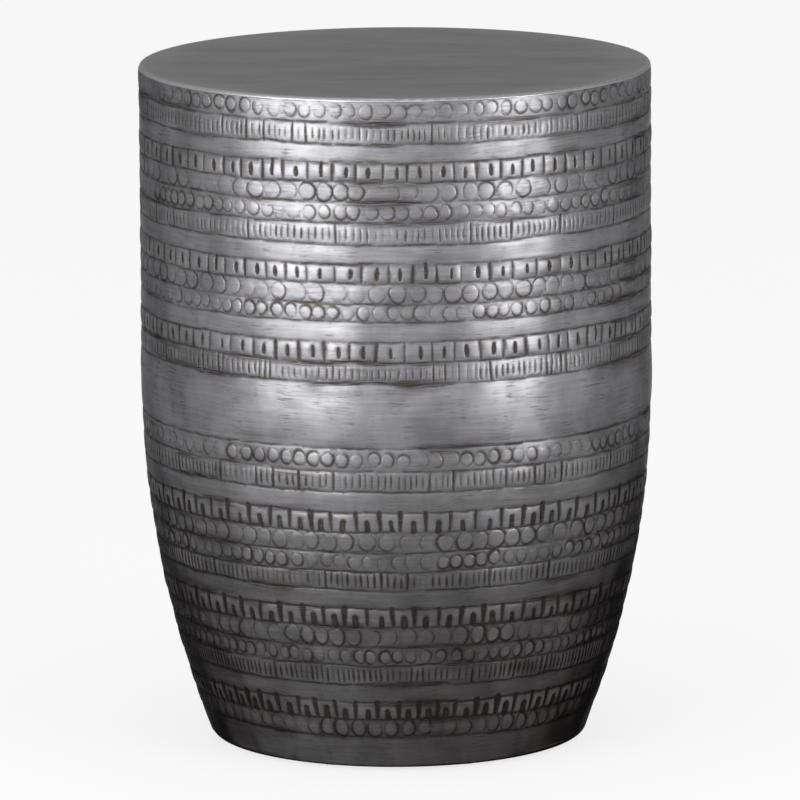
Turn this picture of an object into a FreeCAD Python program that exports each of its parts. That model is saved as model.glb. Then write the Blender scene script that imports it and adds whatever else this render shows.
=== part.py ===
import FreeCAD, Part
import math
import os
import Sketcher

# A drum side table in sheet metal, in millimetres, +Z up.
# The origin is on the floor, below the middle of the drum.
# The front is towards -Y and the sheets' seam is at +Y.

# Sizes that can be set by themselves.
DRIVING_SIZES = {
    # the drum's outside
    "body_radius": 190,
    "body_height": 506,
    "foot_clearance": 2,
    "barrel_start": 269,
    "barrel_radius": 740,
    "base_corner_radius": 6.5,
    # the two rolled shells
    "shell_sheet": 1.2,
    "lip_width": 10,
    "seam_gap": 0.3,
    "bond_gap": 0.15,
    # the band behind the joint of the shells
    "splice_height": 28,
    "splice_sheet": 1.5,
    "splice_margin": 1,
    # the straps behind the vertical seams
    "strap_width": 30,
    "strap_sheet": 1.2,
    "strap_margin": 4,
    "strap_foot": 20,
    # the top with its board
    "top_sheet": 1.5,
    "rim_depth": 2.6,
    "rim_corner_radius": 2.2,
    "board_thickness": 12,
    "board_clearance": 0.5,
    # the angle ring below the board
    "top_ring_width": 22,
    "top_ring_leg": 20,
    "top_ring_wall": 2,
    # the wood screws of the board
    "board_screw_count": 6,
    "screw_shank_radius": 1.9,
    "screw_head_radius": 4,
    "screw_head_height": 2.4,
    "screw_grip": 9,
    "screw_point": 2,
    # the ring on the lip, and its rivets
    "base_ring_width": 34,
    "base_ring_thickness": 4,
    "base_ring_clearance": 0.5,
    "rivet_count": 8,
    "rivet_shank_radius": 2,
    "rivet_head_radius": 4,
    "rivet_head_height": 1,
    # the plug-in glides
    "glide_radius": 11,
    "glide_gap": 1,
    "glide_chamfer": 0.8,
    "glide_stem_radius": 4,
    "glide_barb_radius": 4.8,
    "glide_barb_height": 3,
    "fit_clearance": 0.15,
    "glide_count": 4,
}

# Sizes and places that follow from the ones above.
DERIVED_SIZES = {
    # heights, from the floor up
    "lip_top": "foot_clearance + shell_sheet",
    "corner_height": "foot_clearance + base_corner_radius",
    "girth_height": "foot_clearance + barrel_start",
    "splice_bottom": "girth_height + splice_margin",
    "splice_top": "splice_bottom + splice_height",
    "joint_height": "splice_bottom + splice_height / 2",
    "top_height": "foot_clearance + body_height",
    "rim_foot": "top_height - rim_depth",
    "rim_bend": "top_height - rim_corner_radius",
    "board_top": "top_height - top_sheet",
    "board_bottom": "board_top - board_thickness",
    "top_ring_soffit": "board_bottom - top_ring_wall",
    "top_ring_foot": "board_bottom - top_ring_leg",
    # the barrel curve of the lower shell, and the rounded corner that it runs into
    "shell_bore": "body_radius - shell_sheet",
    "barrel_axis": "body_radius - barrel_radius",
    "barrel_bore_radius": "barrel_radius - shell_sheet",
    "corner_bore_radius": "base_corner_radius - shell_sheet",
    "corner_drop": "girth_height - corner_height",
    "corner_reach": "sqrt((barrel_radius - base_corner_radius)^2 - corner_drop^2)",
    "corner_axis": "barrel_axis + corner_reach",
    "bend_out_share": "corner_reach / (barrel_radius - base_corner_radius)",
    "bend_down_share": "corner_drop / (barrel_radius - base_corner_radius)",
    "bend_radius": "corner_axis + base_corner_radius * bend_out_share",
    "bend_height": "corner_height - base_corner_radius * bend_down_share",
    "bend_bore_radius": "corner_axis + corner_bore_radius * bend_out_share",
    "bend_bore_height": "corner_height - corner_bore_radius * bend_down_share",
    "lip_bore": "corner_axis - lip_width",
    "seam_turn": "360 - seam_gap / body_radius * 180 / pi",
    # bonded pieces inside the shells
    "bond_radius": "shell_bore - bond_gap",
    "splice_bore": "bond_radius - splice_sheet",
    "strap_bore": "bond_radius - strap_sheet",
    "strap_turn": "strap_width / body_radius * 180 / pi",
    "upper_strap_bottom": "splice_top + strap_margin",
    "upper_strap_top": "top_ring_foot - strap_margin",
    "lower_strap_bottom": "foot_clearance + strap_foot",
    "lower_strap_drop": "girth_height - lower_strap_bottom",
    "lower_strap_arc": "barrel_bore_radius - bond_gap",
    "lower_strap_bore_arc": "lower_strap_arc - strap_sheet",
    "lower_strap_radius": "barrel_axis + sqrt(lower_strap_arc^2 - lower_strap_drop^2)",
    "lower_strap_bore": "barrel_axis + sqrt(lower_strap_bore_arc^2 - lower_strap_drop^2)",
    # the top
    "top_flat_radius": "body_radius - rim_corner_radius",
    "rim_bore": "body_radius - top_sheet",
    "rim_bore_corner": "rim_corner_radius - top_sheet",
    "board_radius": "top_flat_radius - board_clearance",
    "top_ring_bore": "bond_radius - top_ring_width",
    "top_ring_leg_bore": "bond_radius - top_ring_wall",
    # the board's screws, drawn on their own axis from the head up
    "screw_circle": "(top_ring_bore + top_ring_leg_bore) / 2",
    "screw_hole_radius": "screw_shank_radius + fit_clearance",
    "screw_foot": "top_ring_soffit - screw_head_height",
    "screw_length": "screw_head_height + top_ring_wall + screw_grip",
    "screw_shoulder": "screw_length - screw_point",
    "screw_hole_across": "screw_circle * cos(180 / board_screw_count)",
    "screw_hole_along": "screw_circle * sin(180 / board_screw_count)",
    "pilot_depth": "screw_grip + fit_clearance",
    # the base ring and its rivets, which are drawn on their own axis from the lower head up
    "base_ring_radius": "corner_axis - base_ring_clearance",
    "base_ring_bore": "base_ring_radius - base_ring_width",
    "base_ring_top": "lip_top + base_ring_thickness",
    "rivet_circle": "corner_axis - lip_width / 2",
    "rivet_hole_radius": "rivet_shank_radius + fit_clearance",
    "rivet_foot": "foot_clearance - rivet_head_height",
    "rivet_neck": "rivet_head_height + shell_sheet + base_ring_thickness",
    "rivet_length": "rivet_neck + rivet_head_height",
    "rivet_hole_across": "rivet_circle * cos(180 / rivet_count)",
    "rivet_hole_along": "rivet_circle * sin(180 / rivet_count)",
    # the glides
    "glide_circle": "lip_bore - glide_gap - glide_radius",
    "glide_offset": "glide_circle / sqrt(2)",
    "glide_offset_back": "-glide_offset",
    "glide_foot_radius": "glide_radius - glide_chamfer",
    "glide_hole_radius": "glide_stem_radius + fit_clearance",
    "glide_barb_foot": "base_ring_top + fit_clearance",
    "glide_barb_top": "glide_barb_foot + glide_barb_height",
}

FULL_TURN = 360
SCREW_HOLE = ("screw_hole_across", "screw_hole_along")
RIVET_HOLE = ("rivet_hole_across", "rivet_hole_along")

doc = FreeCAD.newDocument("drum_side_table")


def make_sheet():
    """Puts every size in a spreadsheet: driving sizes as numbers, the others as formulas."""
    made = doc.addObject("Spreadsheet::Sheet", "sizes")
    rows = [(name, str(number)) for name, number in DRIVING_SIZES.items()]
    rows += [(name, "=" + formula) for name, formula in DERIVED_SIZES.items()]
    for row, (name, content) in enumerate(rows, start=1):
        made.set(f"A{row}", name)
        made.set(f"B{row}", content)
        made.setAlias(f"B{row}", name)
    doc.recompute()
    return made


sheet = make_sheet()


def size(name):
    """The value of a size, with an empty name for a place on an axis."""
    return float(sheet.get(name)) if name else 0.0


def bind(item, prop, name):
    item.setExpression(prop, "sizes." + name)


def new_body(label):
    body = doc.addObject("PartDesign::Body", label)
    body.Label = label
    return body


def new_sketch(body, name, role):
    """An empty sketch on one of the body's own origin planes."""
    sketch = body.newObject("Sketcher::SketchObject", name)
    plane = [part for part in body.Origin.OriginFeatures if part.Role == role][0]
    sketch.AttachmentSupport = [(plane, "")]
    sketch.MapMode = "FlatFace"
    return sketch


def pin_point(sketch, edge, end, place):
    """Holds an edge's end at a place given by the names of its two sizes."""
    axes = (("DistanceX", -2), ("DistanceY", -1))
    for name, (kind, axis) in zip(place, axes):
        if not name:
            sketch.addConstraint(Sketcher.Constraint("PointOnObject", edge, end, axis))
            continue
        row = sketch.addConstraint(Sketcher.Constraint(kind, -1, 1, edge, end, size(name)))
        bind(sketch, f"Constraints[{row}]", name)


def arc_between(start, end, radius, hollow):
    """An arc from start to end that bulges to the right of the way, or to the left if it is hollow."""
    chord = end - start
    half = chord.Length / 2
    rise = math.sqrt(radius * radius - half * half)
    left = FreeCAD.Vector(-chord.y, chord.x, 0).normalize()
    side = -1 if hollow else 1
    centre = start + chord / 2 + left * rise * side
    middle = centre - left * radius * side
    return Part.Arc(start, middle, end)


def outline(sketch, corners):
    """A closed outline with each corner held at named sizes.

    A corner is the name of its radius, the name of its height and, where the edge that leaves it is an arc,
    the name of that arc's radius and whether the arc is hollow. The corners go round counter-clockwise.
    """
    points = [FreeCAD.Vector(size(corner[0]), size(corner[1]), 0) for corner in corners]
    count = len(corners)
    for index, corner in enumerate(corners):
        start = points[index]
        end = points[(index + 1) % count]
        if len(corner) == 2:
            sketch.addGeometry(Part.LineSegment(start, end), False)
            continue
        sketch.addGeometry(arc_between(start, end, size(corner[2]), corner[3]), False)
    ends = [edge_ends(sketch, index, points[index]) for index in range(count)]
    for index in range(count):
        follower = (index + 1) % count
        sketch.addConstraint(
            Sketcher.Constraint("Coincident", index, ends[index][1], follower, ends[follower][0]))
    for index, corner in enumerate(corners):
        pin_point(sketch, index, ends[index][0], corner[:2])
        if len(corner) > 2:
            row = sketch.addConstraint(Sketcher.Constraint("Radius", index, size(corner[2])))
            bind(sketch, f"Constraints[{row}]", corner[2])


def edge_ends(sketch, index, start):
    """The numbers of an edge's first and last end, because an arc may be stored the other way round."""
    away = [(sketch.getPoint(index, end) - start).Length for end in (1, 2)]
    return (1, 2) if away[0] < away[1] else (2, 1)


def revolved(body, name, corners, turn=None, plane="XZ_Plane", even=False):
    """Turns an outline about the Z axis, right round or by a named angle."""
    sketch = new_sketch(body, name + "_outline", plane)
    outline(sketch, corners)
    turned = body.newObject("PartDesign::Revolution", name)
    turned.Profile = sketch
    turned.ReferenceAxis = (sketch, ["V_Axis"])
    turned.Angle = FULL_TURN
    turned.Midplane = even
    if turn:
        bind(turned, "Angle", turn)
    return turned


def drilled(body, name, place, radius, count, floor="", depth=""):
    """A ring of holes drilled upwards from a named height, right through or to a named depth."""
    doc.recompute()
    before = body.Shape.Volume
    sketch = new_sketch(body, name + "_place", "XY_Plane")
    if floor:
        bind(sketch, "AttachmentOffset.Base.z", floor)
    centre = FreeCAD.Vector(size(place[0]), size(place[1]), 0)
    sketch.addGeometry(Part.Circle(centre, FreeCAD.Vector(0, 0, 1), size(radius)), False)
    pin_point(sketch, 0, 3, place)
    row = sketch.addConstraint(Sketcher.Constraint("Radius", 0, size(radius)))
    bind(sketch, f"Constraints[{row}]", radius)
    hole = body.newObject("PartDesign::Pocket", name)
    hole.Profile = sketch
    hole.Reversed = True
    hole.Type = "Length" if depth else "ThroughAll"
    if depth:
        bind(hole, "Length", depth)
    holes = body.newObject("PartDesign::PolarPattern", name + "s")
    holes.Originals = [hole]
    holes.Axis = (sketch, ["N_Axis"])
    holes.Angle = FULL_TURN
    bind(holes, "Occurrences", count)
    body.Tip = holes
    doc.recompute()
    if body.Shape.Volume >= before:
        raise RuntimeError(name + " cuts nothing")


def ring_of_copies(label, corners, count, circle, height):
    """Separate equal turned pieces on a circle about the Z axis, kept as one group.

    The first is half a step round.
    """
    copies = []
    number = round(size(count))
    for index in range(number):
        body = new_body(f"{label}_{index + 1}")
        revolved(body, f"{label}_{index + 1}_turned", corners)
        angle = f"{FULL_TURN} * {index + 0.5} / sizes.{count}"
        body.setExpression("Placement.Base.x", f"sizes.{circle} * cos({angle})")
        body.setExpression("Placement.Base.y", f"sizes.{circle} * sin({angle})")
        bind(body, "Placement.Base.z", height)
        copies.append(body)
    group = doc.addObject("Part::Compound", label)
    group.Label = label
    group.Links = copies
    return group


def make_top_disc():
    """A flat sheet with a rounded rim that stands on the upper shell's edge."""
    body = new_body("top_disc")
    revolved(body, "top_disc_spun", [
        ("", "board_top"),
        ("top_flat_radius", "board_top", "rim_bore_corner", True),
        ("rim_bore", "rim_bend"),
        ("rim_bore", "rim_foot"),
        ("body_radius", "rim_foot"),
        ("body_radius", "rim_bend", "rim_corner_radius", False),
        ("top_flat_radius", "top_height"),
        ("", "top_height"),
    ])
    return body


def make_top_board():
    """The board that stiffens the top, with pilot holes for its screws."""
    body = new_body("top_board")
    revolved(body, "top_board_disc", [
        ("", "board_bottom"),
        ("board_radius", "board_bottom"),
        ("board_radius", "board_top"),
        ("", "board_top"),
    ])
    drilled(body, "pilot_hole", SCREW_HOLE, "screw_hole_radius", "board_screw_count",
            "board_bottom", "pilot_depth")
    return body


def make_top_ring():
    """An angle ring: its leg is bonded to the upper shell and its flange carries the board."""
    body = new_body("top_ring")
    revolved(body, "top_ring_angle", [
        ("top_ring_bore", "top_ring_soffit"),
        ("top_ring_leg_bore", "top_ring_soffit"),
        ("top_ring_leg_bore", "top_ring_foot"),
        ("bond_radius", "top_ring_foot"),
        ("bond_radius", "board_bottom"),
        ("top_ring_bore", "board_bottom"),
    ])
    drilled(body, "screw_hole", SCREW_HOLE, "screw_hole_radius", "board_screw_count")
    return body


def make_board_screws():
    """Pan-head wood screws, up through the angle ring into the board."""
    corners = [
        ("", ""),
        ("screw_head_radius", ""),
        ("screw_head_radius", "screw_head_height"),
        ("screw_shank_radius", "screw_head_height"),
        ("screw_shank_radius", "screw_shoulder"),
        ("", "screw_length"),
    ]
    return ring_of_copies("board_screws", corners, "board_screw_count", "screw_circle", "screw_foot")


def make_upper_shell():
    """The straight embossed sheet, rolled round with its open seam at the back."""
    body = new_body("upper_shell")
    revolved(body, "upper_shell_rolled", [
        ("shell_bore", "joint_height"),
        ("body_radius", "joint_height"),
        ("body_radius", "rim_foot"),
        ("shell_bore", "rim_foot"),
    ], "seam_turn", "YZ_Plane")
    return body


def make_lower_shell():
    """The embossed sheet that runs into the barrel curve, round the base corner and in under the base."""
    body = new_body("lower_shell")
    revolved(body, "lower_shell_rolled", [
        ("lip_bore", "foot_clearance"),
        ("corner_axis", "foot_clearance", "base_corner_radius", False),
        ("bend_radius", "bend_height", "barrel_radius", False),
        ("body_radius", "girth_height"),
        ("body_radius", "joint_height"),
        ("shell_bore", "joint_height"),
        ("shell_bore", "girth_height", "barrel_bore_radius", True),
        ("bend_bore_radius", "bend_bore_height", "corner_bore_radius", True),
        ("corner_axis", "lip_top"),
        ("lip_bore", "lip_top"),
    ], "seam_turn", "YZ_Plane")
    drilled(body, "lip_hole", RIVET_HOLE, "rivet_hole_radius", "rivet_count", "", "lip_top")
    return body


def make_splice_band():
    """The band bonded inside both shells, behind the joint in the plain belt."""
    body = new_body("splice_band")
    revolved(body, "splice_band_rolled", [
        ("splice_bore", "splice_bottom"),
        ("bond_radius", "splice_bottom"),
        ("bond_radius", "splice_top"),
        ("splice_bore", "splice_top"),
    ])
    return body


def make_upper_seam_strap():
    """The strip bonded behind the upper shell's seam."""
    body = new_body("upper_seam_strap")
    revolved(body, "upper_seam_strap_bent", [
        ("strap_bore", "upper_strap_bottom"),
        ("bond_radius", "upper_strap_bottom"),
        ("bond_radius", "upper_strap_top"),
        ("strap_bore", "upper_strap_top"),
    ], "strap_turn", "YZ_Plane", True)
    return body


def make_lower_seam_strap():
    """The strip behind the lower shell's seam, bent to the barrel curve."""
    body = new_body("lower_seam_strap")
    revolved(body, "lower_seam_strap_bent", [
        ("lower_strap_bore", "lower_strap_bottom"),
        ("lower_strap_radius", "lower_strap_bottom", "lower_strap_arc", False),
        ("bond_radius", "girth_height"),
        ("strap_bore", "girth_height", "lower_strap_bore_arc", True),
    ], "strap_turn", "YZ_Plane", True)
    return body


def make_base_ring():
    """The flat ring that stiffens the lip and holds the glides."""
    body = new_body("base_ring")
    revolved(body, "base_ring_flat", [
        ("base_ring_bore", "lip_top"),
        ("base_ring_radius", "lip_top"),
        ("base_ring_radius", "base_ring_top"),
        ("base_ring_bore", "base_ring_top"),
    ])
    drilled(body, "rivet_hole", RIVET_HOLE, "rivet_hole_radius", "rivet_count")
    drilled(body, "glide_hole", ("glide_offset", "glide_offset"), "glide_hole_radius", "glide_count")
    return body


def make_base_rivets():
    """Rivets with two flat heads, through the lip and the base ring."""
    corners = [
        ("", ""),
        ("rivet_head_radius", ""),
        ("rivet_head_radius", "rivet_head_height"),
        ("rivet_shank_radius", "rivet_head_height"),
        ("rivet_shank_radius", "rivet_neck"),
        ("rivet_head_radius", "rivet_neck"),
        ("rivet_head_radius", "rivet_length"),
        ("", "rivet_length"),
    ]
    return ring_of_copies("base_rivets", corners, "rivet_count", "rivet_circle", "rivet_foot")


def make_glide(label, across, along):
    """A nylon glide: a flat button below the base ring, with a stem and a barb that hold it in its hole."""
    body = new_body(label)
    revolved(body, label + "_moulded", [
        ("", ""),
        ("glide_foot_radius", ""),
        ("glide_radius", "glide_chamfer"),
        ("glide_radius", "lip_top"),
        ("glide_stem_radius", "lip_top"),
        ("glide_stem_radius", "glide_barb_foot"),
        ("glide_barb_radius", "glide_barb_foot"),
        ("glide_stem_radius", "glide_barb_top"),
        ("", "glide_barb_top"),
    ])
    bind(body, "Placement.Base.x", across)
    bind(body, "Placement.Base.y", along)
    return body


parts = [
    make_top_disc(),
    make_top_board(),
    make_top_ring(),
    make_board_screws(),
    make_upper_shell(),
    make_lower_shell(),
    make_splice_band(),
    make_upper_seam_strap(),
    make_lower_seam_strap(),
    make_base_ring(),
    make_base_rivets(),
    make_glide("front_left_glide", "glide_offset_back", "glide_offset_back"),
    make_glide("front_right_glide", "glide_offset", "glide_offset_back"),
    make_glide("back_left_glide", "glide_offset_back", "glide_offset"),
    make_glide("back_right_glide", "glide_offset", "glide_offset"),
]
doc.recompute()

for item in doc.Objects:
    if "Invalid" in item.State or "Error" in item.State:
        raise RuntimeError(item.Label + " failed")
for part in parts:
    if part.Shape.isNull() or not part.Shape.isValid():
        raise RuntimeError(part.Label + " has no valid shape")

os.makedirs("parts", exist_ok=True)
for part in parts:
    part.Shape.exportStep(f"parts/{part.Label}.step")
    print(part.Label, len(part.Shape.Solids), "solids", round(part.Shape.Volume), "mm3")
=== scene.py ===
import math

import bpy
import numpy as np
from mathutils import Matrix, Vector


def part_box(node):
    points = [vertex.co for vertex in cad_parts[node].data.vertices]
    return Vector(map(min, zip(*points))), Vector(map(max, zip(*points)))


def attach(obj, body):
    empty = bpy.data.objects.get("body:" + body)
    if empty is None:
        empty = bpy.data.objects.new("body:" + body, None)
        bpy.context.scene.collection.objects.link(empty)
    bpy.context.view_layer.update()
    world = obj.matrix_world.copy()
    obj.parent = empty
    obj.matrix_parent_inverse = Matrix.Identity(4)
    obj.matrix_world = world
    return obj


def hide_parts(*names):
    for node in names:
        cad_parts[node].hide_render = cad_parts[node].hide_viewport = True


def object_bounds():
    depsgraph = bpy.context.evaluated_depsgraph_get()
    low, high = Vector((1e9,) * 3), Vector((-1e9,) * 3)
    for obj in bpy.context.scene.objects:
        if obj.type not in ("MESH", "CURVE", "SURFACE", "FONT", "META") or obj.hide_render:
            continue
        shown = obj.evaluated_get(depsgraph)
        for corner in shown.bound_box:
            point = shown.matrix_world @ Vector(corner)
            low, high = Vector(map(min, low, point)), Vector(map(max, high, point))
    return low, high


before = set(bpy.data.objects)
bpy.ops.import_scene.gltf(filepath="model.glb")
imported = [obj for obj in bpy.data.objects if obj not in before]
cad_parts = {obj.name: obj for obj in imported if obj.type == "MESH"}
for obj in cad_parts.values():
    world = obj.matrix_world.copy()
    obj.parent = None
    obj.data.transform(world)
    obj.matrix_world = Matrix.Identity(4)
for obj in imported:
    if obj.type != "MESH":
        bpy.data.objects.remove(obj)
cad_low, cad_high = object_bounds()

MM = 0.001

# Sizes read from the frame, and those of the sheets that a box doesn't give.
BODY_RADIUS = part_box("upper_shell")[1].x
WALL_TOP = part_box("upper_shell")[1].z
SHEET_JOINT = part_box("upper_shell")[0].z
LIP_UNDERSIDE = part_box("lower_shell")[0].z
SHEET = 1.2 * MM
GIRTH_HEIGHT = 271 * MM
BARREL_RADIUS = 740 * MM
CORNER_RADIUS = 6.5 * MM
LIP_WIDTH = 10 * MM

# The unrolled wall is a raster of cells: columns run round from the seam at the back, rows from the floor up.
COLUMNS = 2048
ROWS = 1024
LAST_ROW = ROWS - 1.001
GIRTH = 2 * math.pi * BODY_RADIUS
CELL_WIDE = GIRTH / COLUMNS
CELL_HIGH = WALL_TOP / (ROWS - 1)
SEED = 1906

# A sheet is cut into tiles, and those into triangles as fine as the tolerances ask.
TILE = 64
UPPER_WALL_TILES = 6
LOWER_WALL_TILES = 8
INSIDE_TILES = 2
EDGE_TILES = 1
SHAPE_TOLERANCE = 0.06 * MM
PATINA_TOLERANCE = 0.32
EDGE_FADE = 0.6 * MM
BAKE_MARGIN = 0.004
BAKE_STRIPS = 0.12

# The chased bands from the rim down: what is punched in each, and its height.
BANDS = [
    ("rim_rings", 15.7 * MM), ("ticks", 15.5 * MM), ("plain", 13.5 * MM),
    ("windows", 15.0 * MM), ("large_rings", 14.5 * MM), ("small_rings", 15.0 * MM),
    ("ticks", 15.5 * MM), ("plain", 14.5 * MM), ("windows", 14.5 * MM),
    ("large_rings", 14.5 * MM), ("small_rings", 13.5 * MM), ("plain", 14.5 * MM),
    ("windows", 15.0 * MM), ("ticks", 15.5 * MM), ("belt", 48.0 * MM),
    ("small_rings", 17.0 * MM), ("ticks", 15.5 * MM), ("plain", 15.5 * MM),
    ("arches", 15.0 * MM), ("large_rings", 15.5 * MM), ("small_rings", 14.5 * MM),
    ("ticks", 14.0 * MM), ("plain", 15.0 * MM), ("arches", 14.5 * MM),
    ("large_rings", 15.5 * MM), ("small_rings", 14.0 * MM), ("ticks", 15.5 * MM),
    ("plain", 14.0 * MM), ("arches", 14.0 * MM), ("large_rings", 14.0 * MM),
]


# Noise over the unrolled wall

def waves(rng, longest, shortest):
    """A smooth wandering value round the drum, about -1 to 1, with waves between two lengths."""
    angle = np.arange(COLUMNS) * (2 * math.pi / COLUMNS)
    total = np.zeros(COLUMNS)
    lowest = max(1, round(GIRTH / longest))
    highest = max(lowest + 1, round(GIRTH / shortest))
    for turns in range(lowest, highest + 1):
        total += rng.normal() / math.sqrt(turns) * np.cos(turns * angle + rng.uniform(0, 2 * math.pi))
    return total / (2 * total.std())


def blurred(field, wide, high):
    """The field softened by a bell of those half widths."""
    across = np.fft.rfftfreq(COLUMNS) / CELL_WIDE
    up = np.fft.fftfreq(ROWS) / CELL_HIGH
    bell = np.exp(-2 * (math.pi * wide * across[None, :]) ** 2 - 2 * (math.pi * high * up[:, None]) ** 2)
    return np.fft.irfft2(np.fft.rfft2(field) * bell, s=field.shape)


def clouds(rng, wide, high):
    """Soft random patches of about those half widths, with a mean of 0 and a spread of 1."""
    field = blurred(rng.normal(size=(ROWS, COLUMNS)), wide, high)
    return (field - field.mean()) / field.std()


def ramp(value, low, high):
    """0 below low, 1 above high, and smooth between."""
    share = np.clip((value - low) / (high - low), 0, 1)
    return share * share * (3 - 2 * share)


# The chaser's marks: half sizes, depths and edges, and steps of a pitch that varies by a share.
RINGS = {
    "rim_rings": {"pitch": 11.7 * MM, "wide": 4.5 * MM, "high": 5.1 * MM, "rise_share": 0.57},
    "small_rings": {"pitch": 11.1 * MM, "wide": 4.6 * MM, "high": 5.1 * MM, "rise_share": 0.50},
    "large_rings": {"pitch": 14.1 * MM, "wide": 6.1 * MM, "high": 6.5 * MM, "rise_share": 0.50},
}
RING_GAP_SHARE = 0.11
RING_DEPTH = 0.44 * MM
RING_SWELL = 0.14 * MM
DOME_SWELL = 0.19 * MM
RING_STROKE = 0.80 * MM
RING_WANDER = 0.4 * MM
RING_FORCE_WAVES = (400 * MM, 60 * MM)
RING_LEAN_WAVES = (500 * MM, 90 * MM)
RING_LEAN = -1.0
RING_LEAN_SWING = 2.0
RING_LEAN_SPREAD = 0.6
RING_WEIGHT_SHARES = {"mean": 0.74, "swing": 0.40, "spread": 0.18, "least": 0.36, "most": 1.2}
CRESCENT_SHARES = {
    "inner": 0.55, "tip": 0.45, "body": 1.15, "faint": 0.32, "swing": 0.68, "ripple": 0.12, "cleared": 0.9,
}
TICK_STEPS = (4.9 * MM, 0.13)
TICK_HALF_WIDTH = 0.46 * MM
TICK_DEPTH = 0.42 * MM
TICK_EDGE = 0.70 * MM
BROAD_TICK_DEPTH = 0.55 * MM
TICK_CUSHION = (0.18 * MM, 2.6)
TICK_FORCE_WAVES = (300 * MM, 40 * MM)
TICK_WEIGHT_SHARES = {"mean": 0.80, "swing": 0.36, "spread": 0.22, "least": 0.15, "most": 1.3}
DIVIDER_SHARE = 0.15
WINDOW_STEPS = (19.0 * MM, 0.08)
WINDOW_CUSHION = (0.42 * MM, 3.0)
ARCH_STEPS = (18.4 * MM, 0.09)
ARCH_CUSHION = (0.42 * MM, 2.6)
ARCH_BREADTH_GAIN = 0.5
ARCH_BREADTH_POWER = 1.5
BAR_HALF_WIDTH = 1.05 * MM
BROAD_BAR_HALF_WIDTH = 1.45 * MM
BAR_DEPTH = 0.50 * MM
BROAD_BAR_DEPTH = 0.72 * MM
BAR_EDGE = 0.95 * MM
BAR_REACH_SHARE = 0.42
BROAD_BAR_MIDDLE_SHARE = 0.55
SLOT_HALF_WIDTH = 1.40 * MM
ARCH_HALF_WIDTH = 1.90 * MM
SLOT_DEPTH = 0.80 * MM
SLOT_EDGE = 0.60 * MM
OPEN_SLOT_SHARE = 0.15
DISH_DEPTH = 0.16 * MM
DISH_EDGE = 2.4 * MM
DISH_HALF_WIDTH = 1.2 * SLOT_HALF_WIDTH
DISH_REACH_SHARE = 0.2
STROKE_STEPS = (21 * MM, 0.25)
STROKE_STRAY = 0.16 * MM
STROKE_SLANT = 0.32 * MM
LINE_DEPTH = 0.40 * MM
LINE_HALF_WIDTH = 0.66 * MM
BOLD_LINE_GAIN = 0.25
LINE_FORCE_WAVES = (500 * MM, 30 * MM)
LINE_WANDER = 0.75 * MM
LINE_WANDER_WAVES = (900 * MM, 90 * MM)
LINE_TREMBLE = 0.3 * MM
LINE_TREMBLE_WAVES = (80 * MM, 14 * MM)
WAVER = 0.13 * MM
WAVER_SIZE = 2.1 * MM
BOLD_BELOW_GIRTH = 130 * MM
LIGHT_VIGOUR = 0.95
VIGOUR_GAIN = 0.5

# How far the sheet swells between two lines, and how broad its shoulders are.
BELT_PILLOW = (1.05 * MM, 12 * MM)
BAND_PILLOW = (0.27 * MM, 2.6 * MM)


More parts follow.
